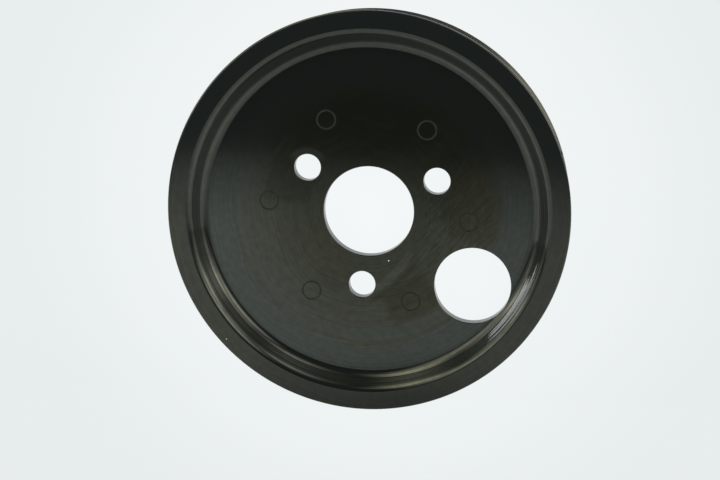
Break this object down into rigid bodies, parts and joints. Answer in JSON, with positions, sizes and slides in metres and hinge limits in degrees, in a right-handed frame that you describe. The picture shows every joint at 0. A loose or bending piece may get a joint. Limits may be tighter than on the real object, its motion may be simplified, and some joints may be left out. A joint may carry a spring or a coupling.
{
  "type": "power steering pump pulley",
  "caption": "Flat plastic belt pulley with a ribbed rim, a recessed web, a centre bore, a circle of bolt holes and a large access hole to one side.",
  "frame": {"origin": "on the pulley's axis, at the rear end of the rim, on which it lies", "axes": "+Z along the axis towards the front face; +X from the axis through the middle of the access hole"},
  "size_m": [0.14, 0.14, 0.0197],
  "materials": {
    "black_plastic": "satin gloss black moulding, with faint flow marks and light scuffs"
  },
  "bodies": {
    "root": {"pulley": "black_plastic"}
  },
  "joints": []
}
